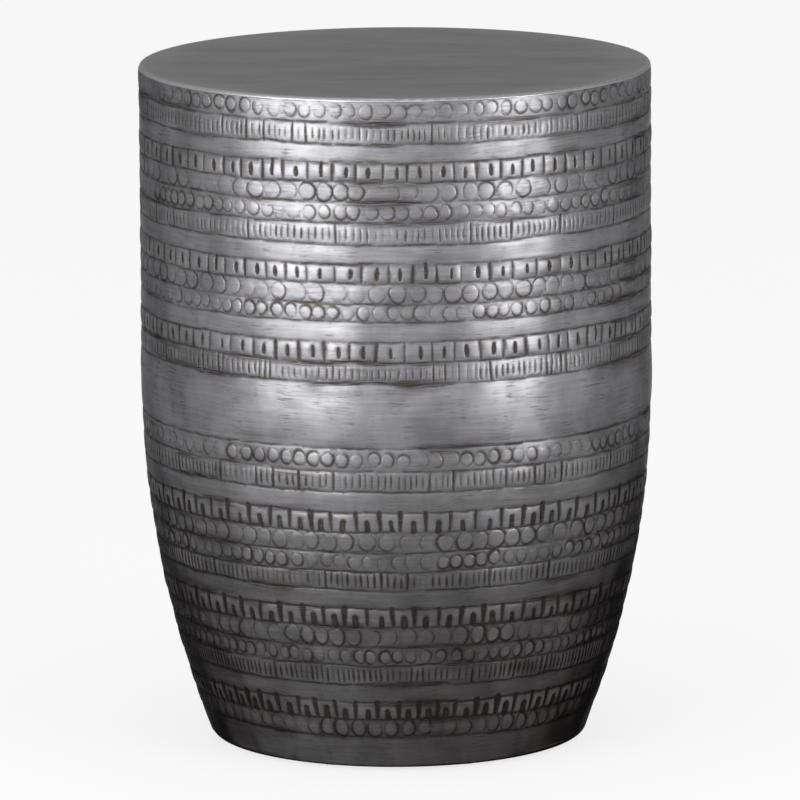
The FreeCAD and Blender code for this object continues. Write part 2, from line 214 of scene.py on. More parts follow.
class Relief:
    """The chased work on the unrolled wall: how deep the marks are and how far the bosses swell."""

    def __init__(self):
        self.depth, self.boss, self.swell, self.rubbed = np.zeros((4, ROWS, COLUMNS))

    def levels(self, low, high):
        """The rows between two heights, and the height of each."""
        rows = np.arange(max(0, int(low / CELL_HIGH)), min(ROWS, int(high / CELL_HIGH) + 2))
        return rows, rows[:, None] * CELL_HIGH

    def near(self, along, height, reach_along, reach_up):
        """The cells near a place, as an index, with their distances from it."""
        first_column = int((along - reach_along) / CELL_WIDE)
        last_column = int((along + reach_along) / CELL_WIDE) + 2
        columns = np.arange(first_column, last_column)
        rows, level = self.levels(height - reach_up, height + reach_up)
        return np.ix_(rows, columns % COLUMNS), (columns * CELL_WIDE - along)[None, :], level - height

    def punch(self, along, height, half_length, half_width, depth, edge, tilt=0.0, taper=0.0, pointed=0.0):
        """An upright blow of a chisel; a taper widens it towards its foot, and its ends may be pointed."""
        reach = half_length + 2 * half_width + edge
        cells, across, up = self.near(along, height, reach + abs(tilt) * half_length, reach)
        over = np.maximum(np.abs(up) - half_length, 0)
        share = np.clip(up / half_length, -1, 1)
        wide = half_width * (1 - taper * share) * (1 - pointed * share ** 2)
        outside = np.hypot(across - tilt * up, over) - wide
        mark = depth * ramp(-outside, -edge, edge)
        self.depth[cells] = np.maximum(self.depth[cells], mark)

    def cut(self, along, foot, top, *blow):
        """An upright blow of a chisel from a foot to a top."""
        self.punch(along, (top + foot) / 2, (top - foot) / 2, *blow)

    def cushion(self, along, following, low, high, swell, square):
        """The sheet between two marks, swollen like a cushion, squarer or rounder."""
        half_wide = 0.5 * (following - along)
        half_high = 0.5 * (high - low)
        cells, across, up = self.near((along + following) / 2, (low + high) / 2, half_wide, half_high)
        raised = np.clip(1 - np.abs(across / half_wide) ** square, 0, 1)
        raised = raised * np.clip(1 - np.abs(up / half_high) ** square, 0, 1)
        self.boss[cells] = np.maximum(self.boss[cells], swell * raised)

    def rub(self, along, height, half_wide, half_high, share):
        """The patina rubbed off again over a soft spot."""
        cells, across, up = self.near(along, height, 2 * half_wide, 2 * half_high)
        spot = np.exp(-(across / half_wide) ** 2 - (up / half_high) ** 2)
        self.rubbed[cells] = np.maximum(self.rubbed[cells], share * spot)

    def ring(self, along, height, half_wide, half_high, depth, stroke, lean, fullness, swell, wobble):
        """A blow of a ring punch: a flat disc, with a crescent sunk beside it where the punch leaned."""
        shares = CRESCENT_SHARES
        reach = max(half_wide, half_high) + 4 * stroke
        cells, across, up = self.near(along, height, reach, reach)
        turn = np.arctan2(up, across)
        out = np.hypot(across / half_wide, up / half_high) * (1 + wobble[0] * np.cos(3 * turn + wobble[1]))
        beside = (out - 1) * min(half_wide, half_high)
        ripple = shares["ripple"] * np.cos(5 * turn + wobble[1])
        pressed = np.clip(fullness + shares["swing"] * np.cos(turn - lean) + ripple, 0, 1)
        width = np.where(beside < 0, shares["inner"], shares["tip"] + shares["body"] * pressed)
        bite = shares["faint"] + (1 - shares["faint"]) * pressed
        groove = depth * bite * np.exp(-(beside / (stroke * width)) ** 2)
        inside = ramp(-beside, 0, stroke)
        self.depth[cells] = np.maximum(self.depth[cells] * (1 - shares["cleared"] * inside), groove)
        disc = swell * np.clip(1 - out ** 3, 0, 1)
        self.boss[cells] = np.maximum(self.boss[cells] * (1 - inside), disc)

    def pillow(self, band, swell, edge):
        """The sheet between two lines, raised a little with round shoulders."""
        floor, ceiling = band
        rows, level = self.levels(floor.min(), ceiling.max())
        inside = np.minimum(level - floor[None, :], ceiling[None, :] - level)
        self.swell[rows] += swell * (1 - np.exp(-np.clip(inside, 0, None) / edge))

    def line(self, heights, depths, stroke):
        """A line chased all the way round, at a height and a depth that wander."""
        rows, level = self.levels(heights.min() - 4 * stroke, heights.max() + 4 * stroke)
        mark = depths[None, :] * np.exp(-((level - heights[None, :]) / stroke) ** 2)
        self.depth[rows] = np.maximum(self.depth[rows], mark)


def column_at(along):
    """The column at a place round the drum."""
    return int(along / CELL_WIDE) % COLUMNS


def heights_at(band, along):
    """The heights of a band's floor and ceiling at a place round the drum."""
    return [line[column_at(along)] for line in band]


def steps(rng, pitch, spread_share):
    """Places round the drum about one pitch apart, as a hand spaces them."""
    count = round(GIRTH / pitch)
    gaps = 1 + spread_share * np.clip(rng.normal(size=count), -2, 2)
    ends = np.cumsum(gaps) * GIRTH / gaps.sum()
    return np.concatenate([[0.0], ends])


def spaces(relief, rng, band, pitches, cushion):
    """Swollen spaces round a band: start and width of each, and the band's floor and ceiling there."""
    places = steps(rng, *pitches)
    for along, following in zip(places[:-1], places[1:]):
        low, high = heights_at(band, along)
        relief.cushion(along, following, low, high, *cushion)
        yield along, following - along, low, high


def blow_weight(rng, force, mean, swing, spread, least, most):
    """How hard one blow falls, with the force that this stretch of its row is struck with."""
    return np.clip(mean + swing * force + spread * rng.normal(), least, most)


def chase_line(relief, rng, line, vigour):
    """A line chased all the way round, in strokes that don't quite meet."""
    ends = steps(rng, *STROKE_STEPS)
    along = np.arange(COLUMNS) * CELL_WIDE
    stroke = np.clip(np.searchsorted(ends, along, side="right") - 1, 0, len(ends) - 2)
    share = (along - ends[stroke]) / (ends[stroke + 1] - ends[stroke]) - 0.5
    stray = STROKE_STRAY * rng.normal(size=len(ends))
    slant = STROKE_SLANT * rng.normal(size=len(ends))
    blow = np.clip(0.92 + 0.16 * rng.normal(size=len(ends)), 0.5, 1.3)
    force = np.clip(0.88 + 0.36 * waves(rng, *LINE_FORCE_WAVES), 0.30, 1.25)
    fading = 1 - 0.45 * (2 * np.abs(share)) ** 4
    depths = LINE_DEPTH * vigour * force * blow[stroke] * fading
    relief.line(line + stray[stroke] + slant[stroke] * share, depths, LINE_HALF_WIDTH * vigour)


def chase_rings(relief, rng, band, punch, vigour, boldness):
    """A row of ring punches, some faint and some leaning into the next."""
    force = waves(rng, *RING_FORCE_WAVES)
    lean = waves(rng, *RING_LEAN_WAVES)
    for along in steps(rng, punch["pitch"], RING_GAP_SHARE)[:-1]:
        column = column_at(along)
        low, high = heights_at(band, along)
        weight = vigour * blow_weight(rng, force[column], **RING_WEIGHT_SHARES)
        stroke = RING_STROKE * (0.4 + 0.58 * weight)
        relief.ring(
            along,
            low + (high - low) * punch["rise_share"] + RING_WANDER * rng.normal(),
            punch["wide"] * (1 + 0.06 * rng.normal()),
            punch["high"] * (1 + 0.04 * rng.normal()),
            RING_DEPTH * weight,
            stroke * rng.uniform(0.75, 1.25),
            RING_LEAN + RING_LEAN_SWING * lean[column] + RING_LEAN_SPREAD * rng.normal(),
            0.56 + 0.28 * force[column] - 0.14 * boldness,
            RING_SWELL + (DOME_SWELL - RING_SWELL) * boldness,
            (0.03 * rng.normal(), rng.uniform(0, 2 * math.pi)),
        )


def chase_ticks(relief, rng, band, vigour, boldness):
    """A row of pointed upright ticks that start below the band's ceiling, and some of full height."""
    start = 0.28 - 0.08 * boldness
    force = waves(rng, *TICK_FORCE_WAVES)
    for along, _, low, high in spaces(relief, rng, band, TICK_STEPS, TICK_CUSHION):
        column = column_at(along)
        height = high - low
        weight = vigour * blow_weight(rng, force[column], **TICK_WEIGHT_SHARES)
        top = high - height * (start + 0.05 * rng.normal())
        foot = low + height * rng.uniform(0.15, 0.27)
        tilt = 0.03 * rng.normal()
        if rng.random() < DIVIDER_SHARE:
            top = high - height * rng.uniform(0.0, 0.08)
            foot = low + height * rng.uniform(-0.02, 0.06)
            wide = TICK_HALF_WIDTH * vigour * rng.uniform(1.2, 2.1)
            deep = BROAD_TICK_DEPTH * (0.4 + 0.6 * weight)
            taper = 0.3 * rng.normal()
            relief.cut(along, foot, top, wide, deep, TICK_EDGE, tilt, taper, 0.4)
        else:
            wide = TICK_HALF_WIDTH * vigour * rng.uniform(0.6, 1.5)
            deep = TICK_DEPTH * weight
            relief.cut(along, foot, top, wide, deep, TICK_EDGE * vigour, tilt, 0.2, 0.6)


def chase_windows(relief, rng, band):
    """A row of cells parted by upright bars, each with one pointed slot right of its middle."""
    for along, gap, low, high in spaces(relief, rng, band, WINDOW_STEPS, WINDOW_CUSHION):
        height = high - low
        wide = BAR_HALF_WIDTH * rng.uniform(0.40, 1.40)
        deep = BAR_DEPTH * rng.uniform(0.45, 1.2)
        tilt = 0.04 * rng.normal()
        taper = 0.3 * rng.normal()
        relief.punch(along, (low + high) / 2, BAR_REACH_SHARE * height, wide, deep, BAR_EDGE, tilt, taper)
        across = along + gap * rng.uniform(0.47, 0.61)
        low, high = heights_at(band, across)
        top = high - height * rng.uniform(0.22, 0.33)
        if rng.random() < OPEN_SLOT_SHARE:
            top = high
        foot = low + height * rng.uniform(0.23, 0.32)
        dish = (DISH_REACH_SHARE * height, DISH_HALF_WIDTH, DISH_DEPTH, DISH_EDGE)
        relief.punch(across, (top + foot) / 2, *dish)
        wide = SLOT_HALF_WIDTH * rng.uniform(0.75, 1.25)
        deep = SLOT_DEPTH * rng.uniform(0.7, 1.1)
        tilt = 0.04 * rng.normal()
        relief.cut(across, foot, top, wide, deep, SLOT_EDGE, tilt, 0.1, 0.32)


def chase_arches(relief, rng, band, breadth):
    """A row of arches: broad bars part them, and each has an opening at its foot."""
    for along, gap, low, high in spaces(relief, rng, band, ARCH_STEPS, ARCH_CUSHION):
        height = high - low
        middle = low + BROAD_BAR_MIDDLE_SHARE * height
        wide = breadth * BROAD_BAR_HALF_WIDTH * rng.uniform(0.6, 1.3)
        deep = BROAD_BAR_DEPTH * rng.uniform(0.7, 1.15)
        tilt = 0.05 * rng.normal()
        relief.punch(along, middle, BAR_REACH_SHARE * height, wide, deep, BAR_EDGE, tilt, -0.3)
        across = along + gap * rng.uniform(0.46, 0.58)
        low = heights_at(band, across)[0]
        top = low + height * rng.uniform(0.46, 0.58)
        foot = low + height * rng.uniform(0.02, 0.14)
        wide = breadth * ARCH_HALF_WIDTH * rng.uniform(0.75, 1.2)
        dish = (DISH_REACH_SHARE * height, wide, DISH_DEPTH, DISH_EDGE)
        relief.punch(across, (top + foot) / 2, *dish)
        deep = SLOT_DEPTH * rng.uniform(0.7, 1.1)
        tilt = 0.05 * rng.normal()
        relief.cut(across, foot, top, wide, deep, SLOT_EDGE, tilt, 0.06)
        spot = (0.55 * wide, 0.20 * height)
        relief.rub(across, foot + 0.08 * height, *spot, rng.uniform(0.2, 0.7))


def boldness_at(height):
    """0 above the girth, where the marks are light, to 1 near the foot, where they are bold."""
    return min(1.0, max(0.0, (GIRTH_HEIGHT - height) / BOLD_BELOW_GIRTH))


def chased_wall():
    """Height, patina and smears of each cell of the unrolled wall; the patina is below 0 where rubbed."""
    rng = np.random.default_rng(SEED)
    relief = Relief()
    height = WALL_TOP
    lines = [np.full(COLUMNS, height)]
    for _, high in BANDS:
        height -= high
        wander = LINE_WANDER * waves(rng, *LINE_WANDER_WAVES) + LINE_TREMBLE * waves(rng, *LINE_TREMBLE_WAVES)
        lines.append(height + wander)
    level = np.arange(ROWS)[:, None] * CELL_HIGH
    from_line = np.full((ROWS, COLUMNS), WALL_TOP)
    for line in lines[1:]:
        np.minimum(from_line, np.abs(level - line[None, :]), out=from_line)
        chase_line(relief, rng, line, 1 + BOLD_LINE_GAIN * boldness_at(line.mean()))
    for (kind, _), ceiling, floor in zip(BANDS, lines[:-1], lines[1:]):
        band = (floor, ceiling)
        boldness = boldness_at(floor.mean())
        vigour = LIGHT_VIGOUR + VIGOUR_GAIN * boldness
        relief.pillow(band, *(BELT_PILLOW if kind == "belt" else BAND_PILLOW))
        if kind in RINGS:
            chase_rings(relief, rng, band, RINGS[kind], vigour, boldness)
        elif kind == "ticks":
            chase_ticks(relief, rng, band, vigour, boldness)
        elif kind == "windows":
            chase_windows(relief, rng, band)
        elif kind == "arches":
            below_girth = 1 - floor.mean() / GIRTH_HEIGHT
            chase_arches(relief, rng, band, 1 + ARCH_BREADTH_GAIN * below_girth ** ARCH_BREADTH_POWER)
    return finished_wall(rng, relief, from_line)


def uneven(rng, fields):
    """Fields of the wall with the small wavering of marks made by hand."""
    across = WAVER / CELL_WIDE * clouds(rng, WAVER_SIZE, WAVER_SIZE)
    up = WAVER / CELL_HIGH * clouds(rng, WAVER_SIZE, WAVER_SIZE)
    column = np.arange(COLUMNS)[None, :] + across
    row = np.clip(np.arange(ROWS)[:, None] + up, 0, LAST_ROW)
    left = np.floor(column).astype(int)
    low = row.astype(int)
    beside = column - left
    above = row - low
    left = left % COLUMNS
    right = (left + 1) % COLUMNS
    return [
        (field[low, left] * (1 - beside) + field[low, right] * beside) * (1 - above)
        + (field[low + 1, left] * (1 - beside) + field[low + 1, right] * beside) * above
        for field in fields
    ]


# The sheet: how deep it is beaten over patches of a width and a height, and its seam.
BEATEN = [
    (0.16 * MM, 13 * MM, 10 * MM),
    (0.05 * MM, 4.5 * MM, 3.2 * MM),
    (0.17 * MM, 9 * MM, 40 * MM),
]
SEAM_DEPTH = 0.5 * MM
SEAM_HALF_WIDTH = 0.55 * MM
THROWN_UP_REACH = 0.9 * MM

# The patina: how far round a mark it gathers, and from which depth or height to which.
SUNK_DEPTH = 0.25 * MM
HOLLOW_REACH = (3.0 * MM, 2.8 * MM)
HOLLOW_DEPTHS = (0.01 * MM, 0.36 * MM)
CHASED_REACH = (3 * MM, 2 * MM)
CHASED_DEPTHS = (0.03 * MM, 0.12 * MM)
RAISED_REACH = (3.4 * MM, 3.2 * MM)
RAISED_HEIGHTS = (0.02 * MM, 0.36 * MM)

# Grime and smears: the width and height of their patches, and the levels at which they start and are full.
GRIME_SPOTS = (7 * MM, 4 * MM)
GRIME_PATCHES = (30 * MM, 16 * MM)
GRIME_LEVELS = (-0.8, 2.4)
STAIN_STREAKS = (12 * MM, 1.3 * MM)
STAIN_PATCHES = (32 * MM, 7 * MM)
STAIN_LEVELS = (0.6, 1.8)
EDGING_PATCHES = (25 * MM, 3 * MM)
EDGING_LEVELS = (-1.2, 1.4)
EDGING_REACH = 1.5 * MM
HEAVY_PATCHES = (24 * MM, 14 * MM)
HEAVY_LEVELS = (-0.7, 1.8)
SMEAR_REACH = 2.6 * MM
FINISH_SHARES = {
    "thrown_up": 0.30, "sunk": 0.75, "hollow": 0.70, "grime": 0.50, "grime_patches": 0.8,
    "stain_patches": 0.9, "heavy_stains": 1.1, "open_smear": 0.12, "line_smear": 1.2, "edging": 0.42,
    "light_smear": 0.50, "heavy_smear": 0.85,
}


def finished_wall(rng, relief, from_line):
    """The beaten sheet with its marks and the seam at the back, its patina and its smears."""
    shares = FINISH_SHARES
    beaten = sum(depth * clouds(rng, wide, high) for depth, wide, high in BEATEN)
    along = np.arange(COLUMNS) * CELL_WIDE
    from_seam = np.minimum(along, GIRTH - along)[None, :]
    seam = SEAM_DEPTH * np.exp(-(from_seam / SEAM_HALF_WIDTH) ** 2)
    marks, boss = uneven(rng, (relief.depth, relief.boss))
    depth = np.maximum(marks, seam)
    thrown_up = shares["thrown_up"] * blurred(depth, THROWN_UP_REACH, THROWN_UP_REACH)
    height = beaten + relief.swell + boss + thrown_up - shares["sunk"] * depth
    sunk = 1 - np.exp(-depth / SUNK_DEPTH)
    shaped = boss - depth
    hollow = ramp(blurred(shaped, *HOLLOW_REACH) - shaped, *HOLLOW_DEPTHS)
    chased = ramp(blurred(depth, *CHASED_REACH), *CHASED_DEPTHS)
    patches = shares["grime_patches"] * clouds(rng, *GRIME_SPOTS)
    patches = patches + shares["grime_patches"] * clouds(rng, *GRIME_PATCHES)
    grime = chased * ramp(patches, *GRIME_LEVELS)
    raised = ramp(shaped - blurred(shaped, *RAISED_REACH), *RAISED_HEIGHTS)
    bright = (1 - sunk * (1 - relief.rubbed)) * (1 - shares["hollow"] * hollow)
    bright = bright * (1 - shares["grime"] * grime)
    patina = np.clip(1 - bright, 0, 1)
    stains = clouds(rng, *STAIN_STREAKS) + shares["stain_patches"] * clouds(rng, *STAIN_PATCHES)
    edging = np.exp(-(from_line / EDGING_REACH) ** 2) * ramp(clouds(rng, *EDGING_PATCHES), *EDGING_LEVELS)
    heavy = ramp(clouds(rng, *HEAVY_PATCHES), *HEAVY_LEVELS)
    smear = ramp(stains + shares["heavy_stains"] * heavy, *STAIN_LEVELS)
    near_line = np.exp(-from_line / SMEAR_REACH)
    smear = smear * np.clip(shares["open_smear"] + shares["line_smear"] * near_line, 0, 1)
    smear = np.maximum(smear, shares["edging"] * edging)
    smear = np.clip(smear * (shares["light_smear"] + shares["heavy_smear"] * heavy), 0, 1)
    return height, patina - raised * (1 - patina), smear


# Sheets as closed meshes, cut finer where the marks are

class Section:
    """A stretch of a sheet's outline, from t = 0 to t = 1, with a number of tiles up it."""

    def __init__(self, tiles, radius, height, chased=False, outside=False):
        self.tiles = tiles
        self.radius = radius
        self.height = height
        self.chased = chased
        self.outside = outside or chased


def straight(tiles, start, end, **kind):
    """A straight stretch between two (radius, height) points."""
    return Section(
        tiles,
        lambda t: start[0] + (end[0] - start[0]) * t,
        lambda t: start[1] + (end[1] - start[1]) * t,
        **kind,
    )


def rounded(tiles, centre, radius, start_angle, end_angle, **kind):
    """A round stretch about a (radius, height) point."""
    return Section(
        tiles,
        lambda t: centre[0] + radius * np.cos(start_angle + (end_angle - start_angle) * t),
        lambda t: centre[1] + radius * np.sin(start_angle + (end_angle - start_angle) * t),
        **kind,
    )


def barrel_wall(tiles, inset, low, high, **kind):
    """The barrel-curved wall and the straight wall above its girth, between two heights."""
    def radius(t):
        drop = np.maximum(GIRTH_HEIGHT - (low + (high - low) * t), 0)
        hollow = BARREL_RADIUS - inset
        return BODY_RADIUS - BARREL_RADIUS + np.sqrt(hollow ** 2 - drop ** 2)

    return Section(tiles, radius, lambda t: low + (high - low) * t, **kind)


def upper_sections():
    """The outline of the upper sheet, anticlockwise from its lower outside edge."""
    inside = BODY_RADIUS - SHEET
    return [
        straight(UPPER_WALL_TILES, (BODY_RADIUS, SHEET_JOINT), (BODY_RADIUS, WALL_TOP), chased=True),
        straight(EDGE_TILES, (BODY_RADIUS, WALL_TOP), (inside, WALL_TOP)),
        straight(INSIDE_TILES, (inside, WALL_TOP), (inside, SHEET_JOINT)),
        straight(EDGE_TILES, (inside, SHEET_JOINT), (BODY_RADIUS, SHEET_JOINT)),
    ]


def lower_sections():
    """The outline of the lower sheet, anticlockwise from the inner edge of its lip."""
    across = BARREL_RADIUS - CORNER_RADIUS
    corner_height = LIP_UNDERSIDE + CORNER_RADIUS
    slope = math.asin((GIRTH_HEIGHT - corner_height) / across)
    corner = (BODY_RADIUS - BARREL_RADIUS + across * math.cos(slope), corner_height)
    outside_foot = corner_height - CORNER_RADIUS * math.sin(slope)
    inside_foot = corner_height - (CORNER_RADIUS - SHEET) * math.sin(slope)
    lip_bore = corner[0] - LIP_WIDTH
    lip_top = LIP_UNDERSIDE + SHEET
    inside = BODY_RADIUS - SHEET
    down = -math.pi / 2
    return [
        straight(EDGE_TILES, (lip_bore, LIP_UNDERSIDE), (corner[0], LIP_UNDERSIDE), outside=True),
        rounded(EDGE_TILES, corner, CORNER_RADIUS, down, -slope, outside=True),
        barrel_wall(LOWER_WALL_TILES, 0, outside_foot, SHEET_JOINT, chased=True),
        straight(EDGE_TILES, (BODY_RADIUS, SHEET_JOINT), (inside, SHEET_JOINT)),
        barrel_wall(INSIDE_TILES, SHEET, SHEET_JOINT, inside_foot),
        rounded(EDGE_TILES, corner, CORNER_RADIUS - SHEET, -slope, down),
        straight(EDGE_TILES, (corner[0], lip_top), (lip_bore, lip_top)),
        straight(EDGE_TILES, (lip_bore, lip_top), (lip_bore, LIP_UNDERSIDE)),
    ]


class SheetGrid:
    """All points of a rolled sheet on a grid of tiles: rows go round its outline, columns round the drum."""

    def __init__(self, sections, wall):
        self.sections = sections
        self.rows = TILE * sum(section.tiles for section in sections)
        self.points = np.zeros((self.rows, COLUMNS, 3))
        self.patina, self.smear = np.zeros((2, self.rows, COLUMNS))
        self.normals = []
        turn = (np.arange(COLUMNS) / COLUMNS - 0.5) * 2 * math.pi
        self.outward = np.stack([np.sin(turn), -np.cos(turn), np.zeros(COLUMNS)], axis=1)
        first = 0
        for section in sections:
            count = section.tiles * TILE
            points, patina, smear = self.stretch(section, wall)
            rows = np.arange(first, first + count + 1) % self.rows
            self.points[rows] = points
            self.patina[rows] = patina
            self.smear[rows] = smear
            self.normals.append(self.facing(points))
            first += count

    def stretch(self, section, wall):
        """The points, the patina and the smears of one section."""
        t = np.linspace(0, 1, section.tiles * TILE + 1)
        radius = section.radius(t)
        height = section.height(t)
        lift, patina, smear = np.zeros((3, len(t), COLUMNS))
        if section.chased:
            place = np.clip(height / CELL_HIGH, 0, LAST_ROW)
            row = place.astype(int)
            share = (place - row)[:, None]
            lift, patina, smear = (field[row] * (1 - share) + field[row + 1] * share for field in wall)
            ends = np.minimum(t, 1 - t) * (height[-1] - height[0])
            edge = np.abs(height - SHEET_JOINT) > abs(height[-1] - height[0]) / 2
            lift = lift * np.where(edge, ramp(ends, 0, EDGE_FADE), 1)[:, None]
        slope_r = np.gradient(radius)
        slope_z = np.gradient(height)
        steepness = np.hypot(slope_r, slope_z)
        reach = radius[:, None] + lift * (slope_z / steepness)[:, None]
        points = reach[:, :, None] * self.outward[None, :, :]
        points[:, :, 2] = height[:, None] - lift * (slope_r / steepness)[:, None]
        return points, patina, smear

    def facing(self, points):
        """The outward direction at every point of one section."""
        across = np.roll(points, -1, axis=1) - np.roll(points, 1, axis=1)
        up = np.gradient(points, axis=0)
        normal = np.cross(across, up)
        return normal / np.linalg.norm(normal, axis=2, keepdims=True)

    def bend(self, middle, one, other):
        """How far points lie from the middle of two others, in shares of what is allowed."""
        def off(field):
            return field(middle) - (field(one) + field(other)) / 2

        shape = np.linalg.norm(off(lambda at: self.points[at]), axis=-1) / SHAPE_TOLERANCE
        patina = np.abs(off(lambda at: self.patina[at])) / PATINA_TOLERANCE
        smear = np.abs(off(lambda at: self.smear[at])) / PATINA_TOLERANCE
        return np.maximum(shape, np.maximum(patina, smear))

    def wanted(self):
        """For each point, how much a triangle with it halfway along its long side has to be halved."""
        need = np.zeros((self.rows, COLUMNS))

        def at(row, column):
            return np.ix_(row % self.rows, column % COLUMNS)

        size = 2
        while size <= TILE:
            half = size // 2
            quarter = half // 2
            row_ends = np.arange(0, self.rows, size)
            column_ends = np.arange(0, COLUMNS, size)
            row_mids = row_ends + half
            column_mids = column_ends + half
            corner = at(row_ends, column_ends)
            right = at(row_ends, column_ends + size)
            above = at(row_ends + size, column_ends)
            opposite = at(row_ends + size, column_ends + size)
            level_edge = self.bend(at(row_ends, column_mids), corner, right)
            upright_edge = self.bend(at(row_mids, column_ends), corner, above)
            if quarter:
                for up in (-quarter, quarter):
                    for side in (-quarter, quarter):
                        level_edge = np.maximum(level_edge, need[at(row_ends + up, column_mids + side)])
                        upright_edge = np.maximum(upright_edge, need[at(row_mids + up, column_ends + side)])
            need[at(row_ends, column_mids)] = level_edge
            need[at(row_mids, column_ends)] = upright_edge
            rising = self.bend(at(row_mids, column_mids), corner, opposite)
            falling = self.bend(at(row_mids, column_mids), above, right)
            odd = (row_ends[:, None] // size + column_ends[None, :] // size) % 2 == 1
            if size == TILE:
                odd = np.zeros_like(odd)
            centre = np.where(odd, falling, rising)
            for up, side in ((0, half), (0, -half), (half, 0), (-half, 0)):
                centre = np.maximum(centre, need[at(row_mids + up, column_mids + side)])
            need[at(row_mids, column_mids)] = centre
            size *= 2
        return need

    def triangles(self):
        """Each triangle's corners by row and column, and the section that it is on; a tile starts as two."""
        need = self.wanted()
        tile_counts = [section.tiles for section in self.sections]
        section_of_tile = np.repeat(np.arange(len(self.sections)), tile_counts)
        tile_row, tile_column = np.indices((self.rows // TILE, COLUMNS // TILE))
        foot = np.stack([tile_row.ravel(), tile_column.ravel()], axis=1) * TILE
        section = section_of_tile[tile_row.ravel()]
        up = np.array([TILE, 0])
        side = np.array([0, TILE])
        one = np.concatenate([foot, foot + up + side])
        other = np.concatenate([foot + up + side, foot])
        square = np.concatenate([foot + side, foot + up])
        section = np.concatenate([section, section])
        done = []
        while len(one):
            middle = (one + other) // 2
            whole = ((one + other) % 2 == 0).all(axis=1)
            halved = whole & (need[middle[:, 0] % self.rows, middle[:, 1] % COLUMNS] > 1)
            kept = ~halved
            done.append((np.stack([one[kept], square[kept], other[kept]], axis=1), section[kept]))
            one, other, square = (
                np.concatenate([square[halved], other[halved]]),
                np.concatenate([one[halved], square[halved]]),
                np.concatenate([middle[halved], middle[halved]]),
            )
            section = np.concatenate([section[halved], section[halved]])
        return np.concatenate([corners for corners, _ in done]), np.concatenate([on for _, on in done])

    def bake_places(self, corners, section):
        """Places on the bake map: the chased wall in four fields, all else in thin strips below them."""
        first = np.cumsum([0] + [part.tiles * TILE for part in self.sections])
        rows = corners[:, :, 0]
        columns = corners[:, :, 1]
        share = np.zeros(rows.shape)
        for index, part in enumerate(self.sections):
            on = section == index
            share[on] = (rows[on] - first[index]) / (part.tiles * TILE)
        round_share = columns / COLUMNS
        quarter = np.minimum(columns.min(axis=1) * 4 // COLUMNS, 3)[:, None]
        margin = BAKE_MARGIN
        field_wide = 1 / 2
        field_high = (1 - BAKE_STRIPS) / 2
        across = (quarter % 2) * field_wide + margin + (round_share * 4 - quarter) * (field_wide - 2 * margin)
        up = BAKE_STRIPS + (quarter // 2) * field_high + margin + share * (field_high - 2 * margin)
        plain = [index for index, part in enumerate(self.sections) if not part.chased]
        strip = BAKE_STRIPS / len(plain)
        for order, index in enumerate(plain):
            on = section == index
            across[on] = margin + round_share[on] * (1 - 2 * margin)
            up[on] = order * strip + margin / 2 + share[on] * (strip - margin)
        return np.stack([across, up], axis=2)


def sheet_mesh(name, sections, wall):
    """The mesh of one rolled sheet, with its own normals, patina, smears and bake map."""
    grid = SheetGrid(sections, wall)
    corners, section = grid.triangles()
    wrapped = (corners[:, :, 0] % grid.rows) * COLUMNS + corners[:, :, 1] % COLUMNS
    used, faces = np.unique(wrapped, return_inverse=True)
    faces = faces.reshape(-1, 3)
    mesh = bpy.data.meshes.new(name)
    mesh.vertices.add(len(used))
    mesh.vertices.foreach_set("co", grid.points.reshape(-1, 3)[used].ravel())
    mesh.loops.add(faces.size)
    mesh.loops.foreach_set("vertex_index", faces.ravel().astype(np.int32))
    mesh.polygons.add(len(faces))
    mesh.polygons.foreach_set("loop_start", np.arange(0, faces.size, 3, dtype=np.int32))
    outside = np.array([part.outside for part in sections])[section]
    mesh.polygons.foreach_set("material_index", np.where(outside, 0, 1).astype(np.int32))
    mesh.polygons.foreach_set("use_smooth", np.ones(len(faces), bool))
    mesh.update()
    for finish, values in (("patina", grid.patina), ("smear", grid.smear)):
        mesh.attributes.new(finish, "FLOAT", "POINT").data.foreach_set("value", values.ravel()[used])
    places = grid.bake_places(corners, section)
    mesh.uv_layers.new(name="OFBake").data.foreach_set("uv", places.ravel())
    normals = np.zeros((len(faces), 3, 3))
    first = 0
    for index, part in enumerate(sections):
        on = section == index
        normals[on] = grid.normals[index][corners[on][:, :, 0] - first, corners[on][:, :, 1] % COLUMNS]
        first += part.tiles * TILE
    mesh.normals_split_custom_set(normals.reshape(-1, 3))
    return mesh


# Materials

